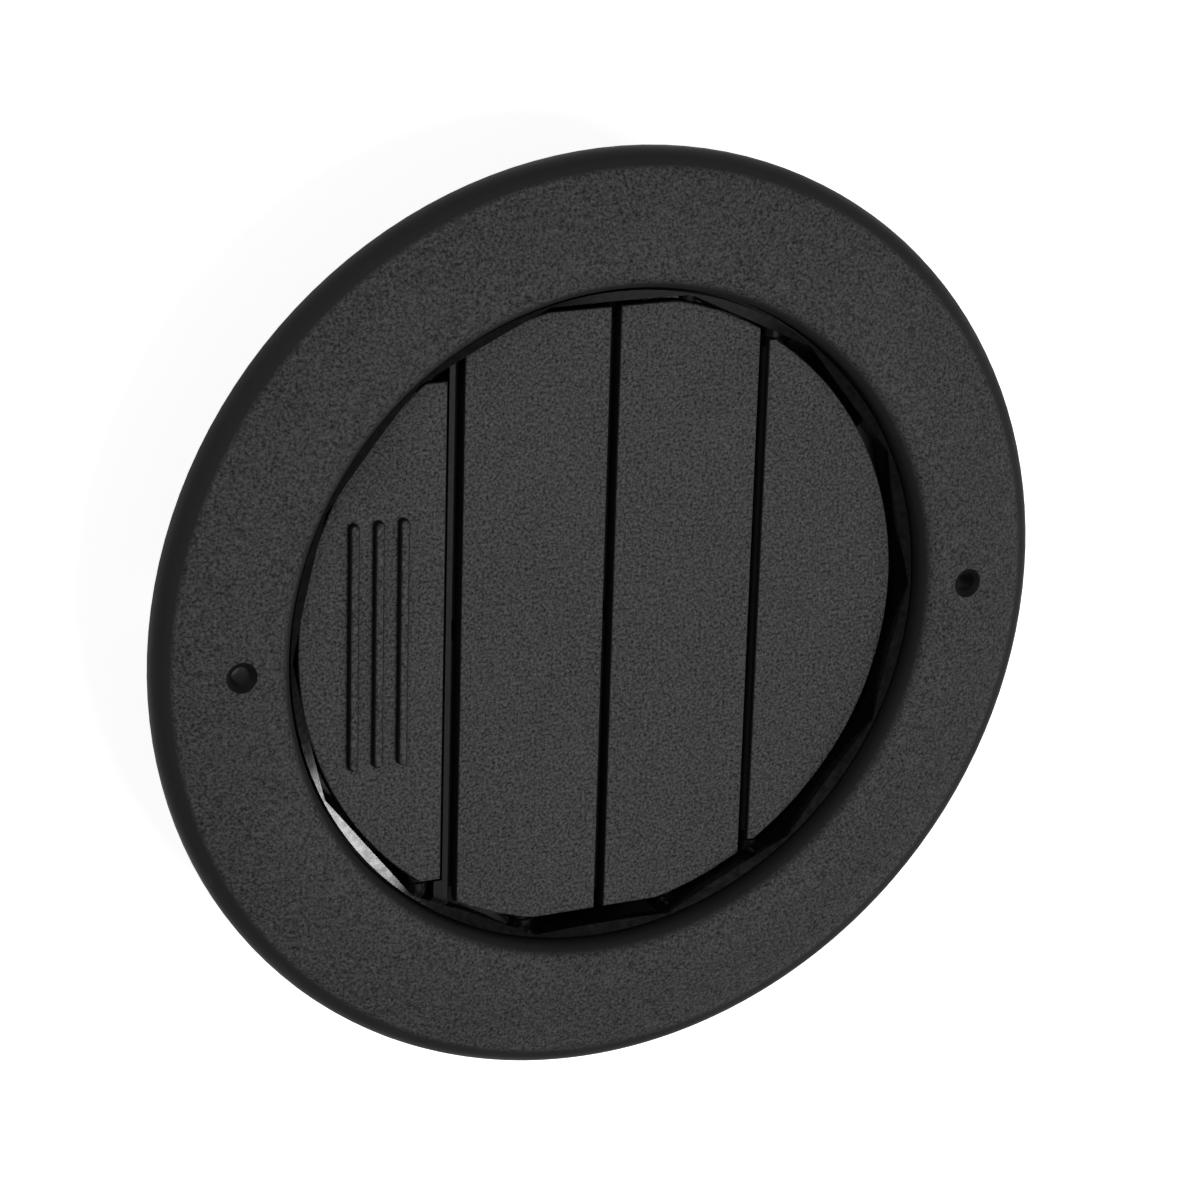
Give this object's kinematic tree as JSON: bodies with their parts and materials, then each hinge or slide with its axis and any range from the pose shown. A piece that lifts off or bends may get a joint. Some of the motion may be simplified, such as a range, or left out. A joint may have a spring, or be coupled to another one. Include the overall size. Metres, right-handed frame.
{
  "type": "round headliner air vent",
  "caption": "Round screw-on ceiling air vent: domed trim flange with a duct collar, a turning ring inside it and linked slats that tilt together to open or close the air.",
  "frame": {"origin": "centre of the flange's back plane, on the collar's axis", "axes": "+Z out of the face into the cabin, +X through the two screw holes, +Y along the slats"},
  "size_m": [0.15, 0.15, 0.0294],
  "materials": {
    "flange_plastic": "fine spark-grain black",
    "ring_plastic": "smooth black",
    "slat_plastic": "fine spark-grain black"
  },
  "bodies": {
    "flange": {"flange_ring": "flange_plastic"},
    "rotor": {"rotor_ring": "ring_plastic"},
    "grip": {"grip_slat": "slat_plastic"},
    "second": {"second_slat": "slat_plastic"},
    "third": {"third_slat": "slat_plastic"},
    "fourth": {"fourth_slat": "slat_plastic"},
    "link": {"link_bar": "ring_plastic"}
  },
  "joints": [
    {"name": "rotor_turn", "type": "hinge", "parent": "flange", "child": "rotor", "pos_m": [0, 0, 0], "axis": [0, 0, 1], "continuous": true},
    {"name": "grip_tilt", "type": "hinge", "parent": "rotor", "child": "grip", "pos_m": [-0.03054, 0, -0.0031], "axis": [0, -1, 0], "range_deg": [0, 80]},
    {"name": "second_tilt", "type": "hinge", "parent": "rotor", "child": "second", "pos_m": [-0.01218, 0, -0.0031], "axis": [0, -1, 0], "range_deg": [0, 80]},
    {"name": "third_tilt", "type": "hinge", "parent": "rotor", "child": "third", "pos_m": [0.01348, 0, -0.0031], "axis": [0, -1, 0], "range_deg": [0, 80]},
    {"name": "fourth_tilt", "type": "hinge", "parent": "rotor", "child": "fourth", "pos_m": [0.02834, 0, -0.0031], "axis": [0, -1, 0], "range_deg": [0, 80]},
    {"name": "link_swing", "type": "hinge", "parent": "grip", "child": "link", "pos_m": [-0.04304, 0, -0.0121], "axis": [0, -1, 0], "range_deg": [-80, 0]}
  ],
  "couplings": [
    {"joint": "second_tilt", "follows": "grip_tilt", "ratio": 1},
    {"joint": "third_tilt", "follows": "grip_tilt", "ratio": 1},
    {"joint": "fourth_tilt", "follows": "grip_tilt", "ratio": 1},
    {"joint": "link_swing", "follows": "grip_tilt", "ratio": -1}
  ]
}
